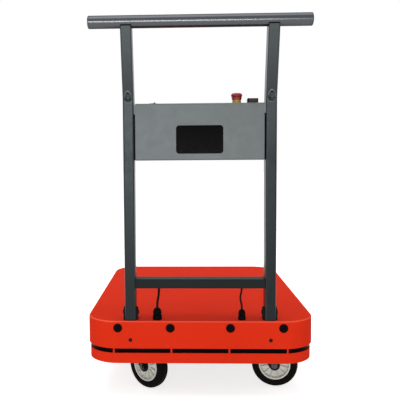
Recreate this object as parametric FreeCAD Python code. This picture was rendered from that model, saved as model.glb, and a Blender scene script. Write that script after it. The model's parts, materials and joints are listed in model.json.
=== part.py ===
import FreeCAD, Part
import math
import os
from FreeCAD import Placement, Rotation, Vector

# Autonomous mobile robot: a low deck on two driven wheels and two swivel casters, with a push
# handle that carries the control box. Millimetres. +Z is up and the robot drives towards +Y, so
# the handle stands at the -Y end. The origin lies on the floor, under the middle of the whole
# machine's box, which reaches from the handlebar to the front of the deck.

# ---- deck body
DECK_WIDTH = 600.0
DECK_LENGTH = 800.0
CORNER_RADIUS = 85.0
GROUND_CLEARANCE = 98.0
SKIRT_HEIGHT = 27.0
SLOT_HEIGHT = 13.0
COVER_HEIGHT = 72.0
COVER_WALL = 3.0
COVER_EDGE_RADIUS = 4.0
SKIRT_INSET = 3.5
SKIRT_WALL = 2.5
SKIRT_FLANGE = 14.0
RIB_WIDTH = 4.5
WINDOW_WALL = 3.0
WINDOW_OVERLAP = 6.0

# ---- chassis of welded tube, with the tray that hangs under it
TUBE_WALL = 2.5
RAIL_SIZE = 50.0
CROSS_DEPTH = 50.0
CROSS_HEIGHT = 20.0
MID_CROSS_SIZE = 30.0
PAD_THICKNESS = 5.0
PAD_WIDTH = 30.0
TRAY_SHEET = 2.5
TRAY_LAP = 10.0

# ---- what lies in the tray
BATTERY_LENGTH = 180.0
BATTERY_HEIGHT = 78.0
CONTROLLER_LENGTH = 95.0
CONTROLLER_HEIGHT = 34.0
COMPUTER_LENGTH = 115.0
COMPUTER_HEIGHT = 46.0
POWER_BOARD_LENGTH = 62.0
POWER_BOARD_HEIGHT = 24.0
RAIL_CLEARANCE = 10.0
COOLING_FIN = 2.0
COOLING_FIN_PITCH = 8.0
BAY_GAP = 12.0
LIDAR_DIAMETER = 70.0
LIDAR_HEAD_DIAMETER = 62.0
LIDAR_HEAD_HEIGHT = 20.0
LIDAR_SETBACK = 56.0
LIDAR_SHAFT = 12.0

# ---- distance sensors and screws in the end walls of the cover
SONAR_DIAMETER = 23.0
SONAR_LENGTH = 24.0
SONAR_LIP = 1.2
SONAR_DEPTH = 18.0
SONAR_INNER_X = 77.5
SONAR_INSET = 86.5
SCREW_HEAD = 9.5
SCREW_SHANK = 5.0
SCREW_LENGTH = 12.0
SCREW_DROP = 49.5

# ---- casters
SWIVEL_INSET = 130.0
SWIVEL_INBOARD = 122.0
CASTER_TRAIL = 39.0
CASTER_WHEEL = 125.0
CASTER_TREAD = 30.0
CASTER_HUB = 85.0
CASTER_HUB_BOSS = 30.0
CASTER_WEB = 6.0
CASTER_RIM = 5.0
CASTER_SPOKES = 12
SPOKE_THICKNESS = 2.2
CASTER_ANGLE_LEFT = -40.0
CASTER_ANGLE_RIGHT = -10.0
CASTER_PLATE = (105.0, 85.0, 4.0)
CASTER_HOLE_X = 40.0
CASTER_HOLE_Y = 30.0
CASTER_BOLT = 8.0
RACE_DIAMETER = 56.0
RACE_HEIGHT = 10.0
KINGPIN = 12.0
KINGPIN_HEAD = 20.0
FORK_SHEET = 4.0
FORK_EYE = 30.0
FORK_GAP = 2.0
CASTER_AXLE = 10.0

# ---- driven wheels, each a motor in its own hub
DRIVE_WHEEL = 165.0
DRIVE_TREAD = 44.0
DRIVE_HUB = 118.0
DRIVE_INSET = 63.0
DRIVE_FORWARD = 195.0
DRIVE_AXLE = 16.0
DRIVE_PLATE = 8.0
DRIVE_PLATE_WIDTH = 76.0

# ---- handle
UPRIGHT_WIDTH = 28.0
UPRIGHT_DEPTH = 40.0
UPRIGHT_CORNER = 4.0
UPRIGHT_WALL = 2.0
HANDLE_INSET = 105.0
UPRIGHT_SETBACK = 6.0
BEND_Z = 782.0
BEND_RADIUS = 70.0
BEND_DIMPLE_RADIUS = 14.0
BEND_DIMPLE_DEPTH = 4.5
HANDLE_LEAN = 15.0
BAR_Z = 965.0
BAR_DIAMETER = 31.8
BAR_LENGTH = 551.0
BAR_WALL = 2.0
BAR_CAP = 3.0
BAR_PLUG = 12.0
BAR_SADDLE = 8.0
BAR_SEAT_PLATE = 3.0
BRACE_BOTTOM = 294.0
BRACE_HEIGHT = 24.0
EAR_THICKNESS = 4.5
EAR_WIDTH = 25.0
EAR_RISE = 33.0
EAR_BOLT_RISE = 19.0
EAR_BOLT = 8.0
BRACKET_BASE = 5.0
BRACKET_BASE_WIDTH = 60.0

# ---- control box between the uprights
BOX_BOTTOM = 624.0
BOX_HEIGHT = 144.0
BOX_DEPTH = 55.0
BOX_WALL = 2.0
BOX_SIDE_GAP = 3.8
BOX_EDGE_RADIUS = 3.5
BOX_TAB_HEIGHT = 26.0
BOX_TAB_DEPTH = 16.0
SCREEN_WIDTH = 119.0
SCREEN_HEIGHT = 71.0
SCREEN_BOTTOM = 17.0
SCREEN_CORNER = 8.0
SCREEN_BOARD = 9.0

# ---- emergency stop
STOP_INSET = 67.7
STOP_COLLAR = 22.6
STOP_COLLAR_HEIGHT = 8.5
STOP_NECK = 17.6
STOP_NECK_HEIGHT = 13.0
STOP_HEAD = 29.4
STOP_HEAD_HEIGHT = 14.0
STOP_HEAD_BASE = 22.0
STOP_TRAVEL = 4.0
STOP_STEM = 8.0
STOP_BLOCK = (26.0, 30.0, 22.0)

# ---- rocker switches
POWER_SWITCH_INSET = 45.0
POWER_BEZEL = (21.3, 15.0, 2.0)
POWER_OPENING = (15.4, 10.0)
POWER_PIVOT = -2.4
POWER_ROCKER_TILT = 12.0
LIGHT_SWITCH_INSET = 27.2
LIGHT_BEZEL = (25.5, 31.0, 3.0)
LIGHT_GUARD = 2.0
LIGHT_GUARD_HEIGHT = 12.5
LIGHT_OPENING = (21.0, 28.0)
LIGHT_PIVOT = -2.6
LIGHT_ROCKER_TILT = 8.0
SWITCH_BODY_DEPTH = 20.0
SWITCH_PIN = 3.0

# ---- cable glands and leads
GLAND_LEFT_OFFSET = 34.0
GLAND_RIGHT_OFFSET = 31.0
GLAND_SETBACK = 20.0
GLAND_LEFT = (22.4, 31.0, 6.0)
GLAND_RIGHT = (18.4, 27.0, 5.0)
GLAND_THREAD = 12.0
GLAND_SEAT_DEPTH = 0.4
GLAND_NUT_ROUND = 1.06
GROMMET_LIP = 2.0
LEAD_LEFT_SHIFT = 4.5
LEAD_RIGHT_BULGE = 3.8

# ---- clearances
SEAT_GAP = 0.3
RUNNING_GAP = 0.05
WHEEL_FIT_GAP = 0.1

# ---- heights and places that follow
SKIRT_TOP = GROUND_CLEARANCE + SKIRT_HEIGHT
COVER_BOTTOM = SKIRT_TOP + SLOT_HEIGHT
DECK_TOP = COVER_BOTTOM + COVER_HEIGHT
COVER_UNDERSIDE = DECK_TOP - COVER_WALL
RAIL_TOP = COVER_UNDERSIDE - PAD_THICKNESS
RAIL_BOTTOM = RAIL_TOP - RAIL_SIZE
TRAY_BOTTOM = GROUND_CLEARANCE + SKIRT_WALL
TRAY_FLOOR = TRAY_BOTTOM + TRAY_SHEET
SWIVEL_X = DECK_WIDTH / 2 - SWIVEL_INSET
DRIVE_X = DECK_WIDTH / 2 - DRIVE_INSET
SONAR_OUTER_X = DECK_WIDTH / 2 - SONAR_INSET
RIB_SPACING = DECK_WIDTH / 4
SIDE_RIB_SPACING = DECK_LENGTH / 5
CROSS_HALF_LENGTH = DECK_WIDTH / 2 - CORNER_RADIUS
RAIL_INNER_X = SWIVEL_X - RAIL_SIZE / 2
RAIL_OUTER_X = SWIVEL_X + RAIL_SIZE / 2
UPRIGHT_OUTER_X = DECK_WIDTH / 2 - HANDLE_INSET
UPRIGHT_X = UPRIGHT_OUTER_X - UPRIGHT_WIDTH / 2
UPRIGHT_INNER_X = UPRIGHT_OUTER_X - UPRIGHT_WIDTH
BOX_TOP = BOX_BOTTOM + BOX_HEIGHT
LEAN_SLOPE = math.tan(math.radians(HANDLE_LEAN))
BAR_RUN = (BAR_Z - BEND_Z) * LEAN_SLOPE
BAR_BEHIND_UPRIGHT = BAR_RUN - UPRIGHT_SETBACK - UPRIGHT_DEPTH / 2
SADDLE_REACH = (UPRIGHT_DEPTH / 2 * math.cos(math.radians(HANDLE_LEAN))
                - (BAR_DIAMETER / 2 - BAR_SADDLE) * math.sin(math.radians(HANDLE_LEAN)))
HANDLE_OVERHANG = BAR_BEHIND_UPRIGHT + max(SADDLE_REACH, BAR_DIAMETER / 2)
SCREW_RISE = SCREW_HEAD / 4
DECK_Y = (HANDLE_OVERHANG - SCREW_RISE) / 2
REAR_Y = DECK_Y - DECK_LENGTH / 2
FRONT_Y = DECK_Y + DECK_LENGTH / 2
UPRIGHT_REAR_Y = REAR_Y + UPRIGHT_SETBACK
UPRIGHT_Y = UPRIGHT_REAR_Y + UPRIGHT_DEPTH / 2
BAR_Y = UPRIGHT_Y - BAR_RUN
SWIVEL_Y = REAR_Y + SWIVEL_INBOARD
DRIVE_Y = DECK_Y + DRIVE_FORWARD
AXLE_Z = CASTER_WHEEL / 2
CROWN_TOP = RAIL_BOTTOM - CASTER_PLATE[2] - RACE_HEIGHT
RACE_BOTTOM = CROWN_TOP + SEAT_GAP
LIDAR_Y = FRONT_Y - LIDAR_SETBACK
SLOT_MIDDLE = SKIRT_TOP + SLOT_HEIGHT / 2
LIDAR_HEAD_BOTTOM = SLOT_MIDDLE - LIDAR_HEAD_HEIGHT / 2
SCREW_Z = DECK_TOP - SCREW_DROP
SONAR_Z = DECK_TOP - SONAR_DEPTH
GLAND_Y = REAR_Y + GLAND_SETBACK
BOX_MIDDLE_Y = UPRIGHT_REAR_Y + BOX_DEPTH / 2
BOX_HALF_WIDTH = UPRIGHT_INNER_X - BOX_SIDE_GAP
STOP_X = BOX_HALF_WIDTH - STOP_INSET
POWER_SWITCH_X = POWER_SWITCH_INSET - BOX_HALF_WIDTH
LIGHT_SWITCH_X = BOX_HALF_WIDTH - LIGHT_SWITCH_INSET
GLAND_LEFT_X = -SONAR_INNER_X - GLAND_LEFT_OFFSET
GLAND_RIGHT_X = SONAR_INNER_X + GLAND_RIGHT_OFFSET
GLAND_FOOT = DECK_TOP - GLAND_SEAT_DEPTH
BRACKET_BOTTOM = RAIL_BOTTOM + CROSS_HEIGHT
UPRIGHT_FOOT = BRACKET_BOTTOM + BRACKET_BASE
TRAY_HALF_WIDTH = RAIL_INNER_X + TRAY_LAP
CASTER_SWEEP = CASTER_TRAIL + CASTER_WHEEL / 2
TRAY_REAR_Y = SWIVEL_Y + CASTER_SWEEP + BAY_GAP
TRAY_FRONT_Y = FRONT_Y - SKIRT_INSET - SKIRT_WALL - WINDOW_WALL - SEAT_GAP
BATTERY_WIDTH = 2 * (RAIL_INNER_X - RAIL_CLEARANCE)
CASE_WIDTH = (BATTERY_WIDTH - BAY_GAP) / 2
CASE_X = (CASE_WIDTH + BAY_GAP) / 2
MID_CROSS_Y = (TRAY_REAR_Y - MID_CROSS_SIZE / 2, TRAY_REAR_Y + BATTERY_LENGTH + BAY_GAP + MID_CROSS_SIZE / 2)
X_AXIS = Vector(1, 0, 0)
Y_AXIS = Vector(0, 1, 0)
Z_AXIS = Vector(0, 0, 1)


# ---- shared shapes
def block(x0, x1, y0, y1, z0, z1):
    return Part.makeBox(x1 - x0, y1 - y0, z1 - z0, Vector(x0, y0, z0))


def centred_block(size, middle_x, middle_y, bottom):
    width, depth, height = size
    corner = Vector(middle_x - width / 2, middle_y - depth / 2, bottom)
    return Part.makeBox(width, depth, height, corner)


def rod(diameter, start, direction, length):
    return Part.makeCylinder(diameter / 2, length, start, direction)


def rounded_slab(width, length, radius, middle_y, z0, z1):
    slab = centred_block((width, length, z1 - z0), 0, middle_y, z0)
    corners = [e for e in slab.Edges if is_along(e, Z_AXIS)]
    return slab.makeFillet(radius, corners)


def is_along(edge, axis):
    start, end = edge.Vertexes[0].Point, edge.Vertexes[-1].Point
    return abs((end - start).cross(axis).Length) < 1e-6 and (end - start).Length > 1e-6


def ring(inset, wall, z0, z1):
    outer = deck_slab(inset, z0, z1)
    return outer.cut(deck_slab(inset + wall, z0, z1))


def deck_slab(inset, z0, z1):
    width = DECK_WIDTH - 2 * inset
    length = DECK_LENGTH - 2 * inset
    return rounded_slab(width, length, CORNER_RADIUS - inset, DECK_Y, z0, z1)


def turned(profile, centre, axis):
    # A solid of revolution. The profile gives (radius, place along the axis) pairs.
    side = Vector(0, 0, 1) if abs(axis.z) < 0.5 else Vector(1, 0, 0)
    points = [centre + side * radius + axis * along for radius, along in profile]
    outline = Part.makePolygon(points + [points[0]])
    return Part.Face(outline).revolve(centre, axis, 360)


def hex_prism(across_flats, centre, axis, length):
    side = Vector(0, 0, 1) if abs(axis.z) < 0.5 else Vector(1, 0, 0)
    corner = across_flats / math.sqrt(3)
    points = [centre + Rotation(axis, 60 * i).multVec(side * corner) for i in range(7)]
    return Part.Face(Part.makePolygon(points)).extrude(axis * length)


def mirrored(shape):
    return shape.mirror(Vector(0, 0, 0), X_AXIS)


def fused(shapes):
    return shapes[0].multiFuse(shapes[1:]).removeSplitter()


# ---- cover, skirt and slot
def sonar_places():
    for end, outward in ((REAR_Y, -1), (FRONT_Y, 1)):
        for x in (-SONAR_OUTER_X, -SONAR_INNER_X, SONAR_INNER_X, SONAR_OUTER_X):
            yield Vector(x, end, SONAR_Z), Vector(0, outward, 0)


def screw_places():
    for end, outward in ((REAR_Y, -1), (FRONT_Y, 1)):
        for x in (-UPRIGHT_X, UPRIGHT_X):
            yield Vector(x, end, SCREW_Z), Vector(0, outward, 0)


def wall_hole(diameter, place, outward):
    return rod(diameter, place + outward, outward * -1, COVER_WALL + 2)


def foot_openings():
    # Each upright and its two ears pass through the cover to the chassis.
    openings = []
    bottom = COVER_UNDERSIDE - 1
    height = COVER_WALL + 2
    for x in (-UPRIGHT_X, UPRIGHT_X):
        tube = (UPRIGHT_WIDTH + 2 * SEAT_GAP, UPRIGHT_DEPTH + 2 * SEAT_GAP, height)
        tube = centred_block(tube, x, UPRIGHT_Y, bottom)
        openings.append(tube.makeFillet(UPRIGHT_CORNER, [e for e in tube.Edges if is_along(e, Z_AXIS)]))
        ears = (UPRIGHT_WIDTH + 2 * (EAR_THICKNESS + SEAT_GAP), EAR_WIDTH + 2 * SEAT_GAP, height)
        openings.append(centred_block(ears, x, UPRIGHT_Y, bottom))
    return openings


def make_top_cover():
    outer = deck_slab(0, COVER_BOTTOM, DECK_TOP)
    top_edges = [e for e in outer.Edges if e.BoundBox.ZMin > DECK_TOP - 1e-6]
    outer = outer.makeFillet(COVER_EDGE_RADIUS, top_edges)
    cuts = [deck_slab(COVER_WALL, COVER_BOTTOM - 1, COVER_UNDERSIDE)]
    cuts += [wall_hole(SONAR_DIAMETER - 2 * SONAR_LIP, place, out) for place, out in sonar_places()]
    cuts += [wall_hole(SCREW_SHANK + 1, place, out) for place, out in screw_places()]
    cuts += foot_openings()
    for x, size in ((GLAND_LEFT_X, GLAND_LEFT), (GLAND_RIGHT_X, GLAND_RIGHT)):
        # The deck is spot-faced under each gland.
        cuts.append(rod(GLAND_THREAD + 2 * SEAT_GAP, Vector(x, GLAND_Y, COVER_UNDERSIDE - 1), Z_AXIS,
                        COVER_WALL + 2))
        cuts.append(rod(GLAND_NUT_ROUND * size[0] + 2 * SEAT_GAP, Vector(x, GLAND_Y, GLAND_FOOT), Z_AXIS, 1))
    return outer.cut(cuts)


def half_of(shape, side):
    # The part of a shape on one side of the middle plane: +1 right, -1 left.
    x0, x1 = sorted((0, side * DECK_WIDTH))
    return shape.common(block(x0, x1, REAR_Y - 1, FRONT_Y + 1, 0, BAR_Z))


def make_skirt_half(side):
    # The skirt is two mouldings that butt at the middle of the front and of the rear. Ribs cross the slot
    # to the chassis at the ends and to the window at the sides.
    wall = ring(SKIRT_INSET, SKIRT_WALL, GROUND_CLEARANCE, SKIRT_TOP)
    flange = ring(SKIRT_INSET, SKIRT_FLANGE, GROUND_CLEARANCE, GROUND_CLEARANCE + SKIRT_WALL)
    pieces = [half_of(wall, side), half_of(flange, side)]
    end_wall = ring(SKIRT_INSET, SKIRT_WALL, SKIRT_TOP - WINDOW_OVERLAP, RAIL_BOTTOM)
    for i in (0.5, 1.5):
        x = side * i * RIB_SPACING
        for y in (REAR_Y, FRONT_Y):
            slice_of_ring = block(x - RIB_WIDTH / 2, x + RIB_WIDTH / 2, y - CORNER_RADIUS, y + CORNER_RADIUS,
                                  0, BAR_Z)
            pieces.append(end_wall.common(slice_of_ring))
    side_wall = ring(SKIRT_INSET, SKIRT_WALL, SKIRT_TOP - WINDOW_OVERLAP, COVER_BOTTOM + WINDOW_OVERLAP)
    for i in (-1.5, -0.5, 0.5, 1.5):
        y = DECK_Y + i * SIDE_RIB_SPACING
        slice_of_ring = block(-DECK_WIDTH, DECK_WIDTH, y - RIB_WIDTH / 2, y + RIB_WIDTH / 2, 0, BAR_Z)
        pieces.append(half_of(side_wall, side).common(slice_of_ring))
    return fused(pieces)


def make_slot_window():
    inset = SKIRT_INSET + SKIRT_WALL
    return ring(inset, WINDOW_WALL, SKIRT_TOP - WINDOW_OVERLAP, COVER_BOTTOM + WINDOW_OVERLAP)


def make_sonar_sensors():
    sensors = []
    for place, out in sonar_places():
        seat = SONAR_DIAMETER / 2
        barrel = seat - SONAR_LIP - SEAT_GAP
        profile = [(0, SONAR_LIP), (seat - SONAR_LIP / 2, SONAR_LIP), (seat, SONAR_LIP / 2), (seat, 0),
                   (barrel, 0), (barrel, -SONAR_LENGTH), (0, -SONAR_LENGTH)]
        sensors.append(turned(profile, place, out))
    return Part.Compound(sensors)


def screw(place, out, length):
    head = SCREW_HEAD / 2
    profile = [(0, SCREW_RISE), (head * 0.6, SCREW_RISE), (head, SCREW_RISE * 0.4), (head, 0),
               (SCREW_SHANK / 2, 0), (SCREW_SHANK / 2, -length), (0, -length)]
    return turned(profile, place, out)


# ---- chassis
def laid_tube(x0, x1, y0, y1, z0, z1, axis):
    # A rectangular tube laid along X or Y and open at both ends.
    outer = block(x0, x1, y0, y1, z0, z1)
    outer = outer.makeFillet(TUBE_WALL, [e for e in outer.Edges if is_along(e, axis)])
    past = axis * 1.0
    reach = Vector(TUBE_WALL, TUBE_WALL, TUBE_WALL) - axis * TUBE_WALL - past
    return outer.cut(block(x0 + reach.x, x1 - reach.x, y0 + reach.y, y1 - reach.y, z0 + reach.z,
                           z1 - reach.z))


def caster_holes(swivel_x, bottom, depth, diameter):
    holes = []
    for x in (-CASTER_HOLE_X, CASTER_HOLE_X):
        for y in (-CASTER_HOLE_Y, CASTER_HOLE_Y):
            holes.append(rod(diameter, Vector(swivel_x + x, SWIVEL_Y + y, bottom - 1), Z_AXIS, depth + 2))
    return holes


def make_rail():
    # The right-hand rail, with the pad plates that the caster bolts to.
    rear = REAR_Y + COVER_WALL + CROSS_DEPTH
    front = FRONT_Y - COVER_WALL - CROSS_DEPTH
    rail = laid_tube(RAIL_INNER_X, RAIL_OUTER_X, rear, front, RAIL_BOTTOM, RAIL_TOP, Y_AXIS)
    width, depth, _ = CASTER_PLATE
    wings = []
    for side in (-1, 1):
        x0, x1 = sorted((SWIVEL_X + side * RAIL_SIZE / 2, SWIVEL_X + side * width / 2))
        wings.append(block(x0, x1, SWIVEL_Y - depth / 2, SWIVEL_Y + depth / 2, RAIL_BOTTOM,
                           RAIL_BOTTOM + 2 * TUBE_WALL))
    wings = [wing.cut(caster_holes(SWIVEL_X, RAIL_BOTTOM, 2 * TUBE_WALL, CASTER_BOLT + 0.6))
             for wing in wings]
    return fused([rail] + wings)


def make_crossmembers():
    half = CROSS_HALF_LENGTH
    members = []
    for end, inward in ((REAR_Y, 1), (FRONT_Y, -1)):
        y0, y1 = sorted((end + inward * COVER_WALL, end + inward * (COVER_WALL + CROSS_DEPTH)))
        tube = laid_tube(-half, half, y0, y1, RAIL_BOTTOM, RAIL_BOTTOM + CROSS_HEIGHT, X_AXIS)
        screws = [rod(SCREW_SHANK + 0.2, place, out * -1, COVER_WALL + TUBE_WALL + 1)
                  for place, out in screw_places()]
        members.append(tube.cut(screws))
    for y in MID_CROSS_Y:
        members.append(laid_tube(-RAIL_INNER_X, RAIL_INNER_X, y - MID_CROSS_SIZE / 2,
                                 y + MID_CROSS_SIZE / 2, RAIL_TOP - MID_CROSS_SIZE, RAIL_TOP, X_AXIS))
    return Part.Compound(members)


def make_deck_pads():
    rear = REAR_Y + COVER_WALL + CROSS_DEPTH
    front = FRONT_Y - COVER_WALL - CROSS_DEPTH
    pads = []
    for x in (-SWIVEL_X, SWIVEL_X):
        pads.append(block(x - PAD_WIDTH / 2, x + PAD_WIDTH / 2, rear, front, RAIL_TOP, COVER_UNDERSIDE))
    return Part.Compound(pads)


def make_tray():
    outer = block(-TRAY_HALF_WIDTH, TRAY_HALF_WIDTH, TRAY_REAR_Y, TRAY_FRONT_Y, TRAY_BOTTOM, RAIL_BOTTOM)
    inside = TRAY_HALF_WIDTH - TRAY_SHEET
    hollow = block(-inside, inside, TRAY_REAR_Y - 1, TRAY_FRONT_Y + 1, TRAY_FLOOR, RAIL_BOTTOM + 1)
    return outer.cut(hollow)


# ---- what the tray carries
def electronics_rear():
    return TRAY_REAR_Y + 2 * BAY_GAP + BATTERY_LENGTH


def make_battery():
    # A cell pack in a case, with a groove under its lid.
    middle_y = TRAY_REAR_Y + BAY_GAP + BATTERY_LENGTH / 2
    lid_bottom = TRAY_FLOOR + BATTERY_HEIGHT - 14
    case = centred_block((BATTERY_WIDTH, BATTERY_LENGTH, BATTERY_HEIGHT), 0, middle_y, TRAY_FLOOR)
    case = case.makeFillet(6, [e for e in case.Edges if is_along(e, Z_AXIS)])
    groove = centred_block((BATTERY_WIDTH + 2, BATTERY_LENGTH + 2, 2), 0, middle_y, lid_bottom)
    core = centred_block((BATTERY_WIDTH - 4, BATTERY_LENGTH - 4, 2), 0, middle_y, lid_bottom)
    return case.cut(groove.cut(core))


def finned_case(size, middle_x, middle_y):
    # An electronics case with cooling fins milled along its top.
    case = centred_block(size, middle_x, middle_y, TRAY_FLOOR)
    cuts = []
    depth = size[2] / 4
    count = int((size[0] - COOLING_FIN) / COOLING_FIN_PITCH)
    first = middle_x - (count - 1) * COOLING_FIN_PITCH / 2
    for i in range(count):
        x = first + i * COOLING_FIN_PITCH
        slot = (COOLING_FIN_PITCH - COOLING_FIN, size[1] + 2, depth + 1)
        cuts.append(centred_block(slot, x, middle_y, TRAY_FLOOR + size[2] - depth))
    return case.cut(cuts)


def make_motor_controller():
    size = (CASE_WIDTH, CONTROLLER_LENGTH, CONTROLLER_HEIGHT)
    return finned_case(size, -CASE_X, electronics_rear() + CONTROLLER_LENGTH / 2)


def make_main_computer():
    size = (CASE_WIDTH, COMPUTER_LENGTH, COMPUTER_HEIGHT)
    return finned_case(size, CASE_X, electronics_rear() + COMPUTER_LENGTH / 2)


def make_power_board():
    # A board with the can that covers its parts.
    board_sheet = 4
    rim = 6
    middle_y = electronics_rear() + CONTROLLER_LENGTH + BAY_GAP + POWER_BOARD_LENGTH / 2
    board = centred_block((CASE_WIDTH, POWER_BOARD_LENGTH, board_sheet), -CASE_X, middle_y, TRAY_FLOOR)
    can = (CASE_WIDTH - 2 * rim, POWER_BOARD_LENGTH - 2 * rim, POWER_BOARD_HEIGHT - board_sheet)
    return fused([board, centred_block(can, -CASE_X, middle_y, TRAY_FLOOR + board_sheet)])


def make_lidar_base():
    centre = Vector(0, LIDAR_Y, 0)
    outer = LIDAR_DIAMETER / 2
    top = LIDAR_HEAD_BOTTOM - SEAT_GAP
    post = LIDAR_SHAFT / 2
    post_top = LIDAR_HEAD_BOTTOM + LIDAR_HEAD_HEIGHT * 0.6
    profile = [(0, TRAY_FLOOR), (outer, TRAY_FLOOR), (outer, top - 3), (outer - 3, top), (post, top),
               (post, post_top), (0, post_top)]
    return turned(profile, centre, Z_AXIS)


def make_lidar_head():
    centre = Vector(0, LIDAR_Y, 0)
    outer = LIDAR_HEAD_DIAMETER / 2
    bore = LIDAR_SHAFT / 2 + RUNNING_GAP
    base = LIDAR_HEAD_BOTTOM
    top = base + LIDAR_HEAD_HEIGHT
    roof = base + LIDAR_HEAD_HEIGHT * 0.6 + SEAT_GAP
    profile = [(bore, base), (outer, base), (outer, top - 3), (outer - 3, top), (0, top), (0, roof),
               (bore, roof)]
    head = turned(profile, centre, Z_AXIS)
    # Two round eyes for the laser and its receiver, side by side in the head's front.
    eyes = [rod(9, Vector(x, LIDAR_Y + outer * 0.55, SLOT_MIDDLE), Y_AXIS, outer) for x in (-9, 9)]
    return head.cut(eyes)


# ---- casters: built on the swivel axis with the wheel trailing along +X, then turned and placed
def leg_outline(top_z, rear_x, front_x, eye_x, eye_z, radius):
    # Two straight edges run from the crown and touch the round eye that holds the axle.
    rear = Vector(rear_x, 0, top_z)
    front = Vector(front_x, 0, top_z)
    rear_touch = touch_point(rear, eye_x, eye_z, radius, 1)
    front_touch = touch_point(front, eye_x, eye_z, radius, -1)
    lowest = Vector(eye_x, 0, eye_z - radius)
    edges = [Part.LineSegment(rear, rear_touch).toShape(),
             Part.Arc(rear_touch, lowest, front_touch).toShape(),
             Part.LineSegment(front_touch, front).toShape(),
             Part.LineSegment(front, rear).toShape()]
    return Part.Face(Part.Wire(edges))


def touch_point(start, eye_x, eye_z, radius, side):
    # Where a line from start touches the eye: on its rear with side 1, on its front with side -1.
    dx = eye_x - start.x
    dz = eye_z - start.z
    reach = math.hypot(dx, dz)
    heading = math.atan2(dz, dx)
    swing = math.acos(radius / reach)
    angle = heading + math.pi + side * swing
    return Vector(eye_x + radius * math.cos(angle), 0, eye_z + radius * math.sin(angle))


def make_caster_fork():
    crown_radius = RACE_DIAMETER / 2 + 7
    pin = KINGPIN / 2
    head = KINGPIN_HEAD / 2
    head_bottom = RAIL_BOTTOM - CASTER_PLATE[2]
    cup = RACE_DIAMETER / 2 + 0.6
    crown = turned([(0, CROWN_TOP - FORK_SHEET), (crown_radius, CROWN_TOP - FORK_SHEET),
                    (crown_radius, CROWN_TOP), (cup + 3, CROWN_TOP + 3), (cup + 2, CROWN_TOP + 6),
                    (cup, CROWN_TOP + 6), (cup, CROWN_TOP), (pin, CROWN_TOP), (pin, head_bottom),
                    (head, head_bottom), (head, RAIL_BOTTOM - 0.4), (0, RAIL_BOTTOM - 0.4)],
                   Vector(0, 0, 0), Z_AXIS)
    inner_y = CASTER_TREAD / 2 + FORK_GAP
    leg_y = inner_y + FORK_SHEET / 2
    half = math.sqrt(crown_radius ** 2 - leg_y ** 2)
    outline = leg_outline(CROWN_TOP - FORK_SHEET / 2, -half * 0.8, half, CASTER_TRAIL, AXLE_Z, FORK_EYE / 2)
    legs = []
    for y in (inner_y, -inner_y - FORK_SHEET):
        leg = outline.extrude(Y_AXIS * FORK_SHEET)
        leg.translate(Vector(0, y, 0))
        legs.append(leg)
    eye = rod(CASTER_AXLE + 0.2, Vector(CASTER_TRAIL, -inner_y - 10, AXLE_Z), Y_AXIS, 2 * inner_y + 20)
    return fused([crown] + legs).cut(eye)


def make_caster_axle():
    outer_y = CASTER_TREAD / 2 + FORK_GAP + FORK_SHEET
    head = CASTER_AXLE * 0.65
    centre = Vector(CASTER_TRAIL, 0, AXLE_Z)
    shank = rod(CASTER_AXLE, centre - Y_AXIS * (outer_y + head + 3), Y_AXIS, 2 * (outer_y + head) + 3)
    nuts = [hex_prism(CASTER_AXLE * 1.6, centre - Y_AXIS * (outer_y + head), Y_AXIS, head),
            hex_prism(CASTER_AXLE * 1.6, centre + Y_AXIS * outer_y, Y_AXIS, head)]
    return fused([shank] + nuts)


def make_caster_hub():
    # Rim, thin web and boss, with radial spokes on both faces of the web.
    rim = CASTER_HUB / 2
    half = CASTER_TREAD / 2 - 1
    web = CASTER_WEB / 2
    bore = CASTER_AXLE / 2 + RUNNING_GAP
    boss = CASTER_HUB_BOSS / 2
    boss_half = CASTER_TREAD / 2 + FORK_GAP - SEAT_GAP
    inner = rim - CASTER_RIM
    profile = [(bore, -boss_half), (boss - 2, -boss_half), (boss, -half), (boss + 1, -web), (inner, -web),
               (inner + 1, -half), (rim, -half), (rim, half), (inner + 1, half), (inner, web),
               (boss + 1, web), (boss, half), (boss - 2, boss_half), (bore, boss_half)]
    centre = Vector(CASTER_TRAIL, 0, AXLE_Z)
    hub = turned(profile, centre, Y_AXIS)
    spokes = []
    for i in range(CASTER_SPOKES):
        spoke = block(boss - 1, inner + 1.5, -half + 3, half - 3, -SPOKE_THICKNESS / 2, SPOKE_THICKNESS / 2)
        spoke.rotate(Vector(0, 0, 0), Y_AXIS, 360 * (i + 0.5) / CASTER_SPOKES)
        spoke.translate(centre)
        spokes.append(spoke)
    return fused([hub] + spokes)


def make_caster_tyre():
    outer = CASTER_WHEEL / 2
    inner = CASTER_HUB / 2 + WHEEL_FIT_GAP
    half = CASTER_TREAD / 2
    profile = [(inner, -half + 1), (inner + 4, -half), (outer - 8, -half), (outer - 3, -half + 2.5),
               (outer - 0.6, -half + 7), (outer, -half + 11), (outer, half - 11), (outer - 0.6, half - 7),
               (outer - 3, half - 2.5), (outer - 8, half), (inner + 4, half), (inner, half - 1)]
    return turned(profile, Vector(CASTER_TRAIL, 0, AXLE_Z), Y_AXIS)


def caster_placement(side, heading):
    return Placement(Vector(side * SWIVEL_X, SWIVEL_Y, 0), Rotation(Z_AXIS, heading))


def placed(shape, placement):
    copy = shape.copy()
    copy.Placement = placement.multiply(copy.Placement)
    return copy


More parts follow.
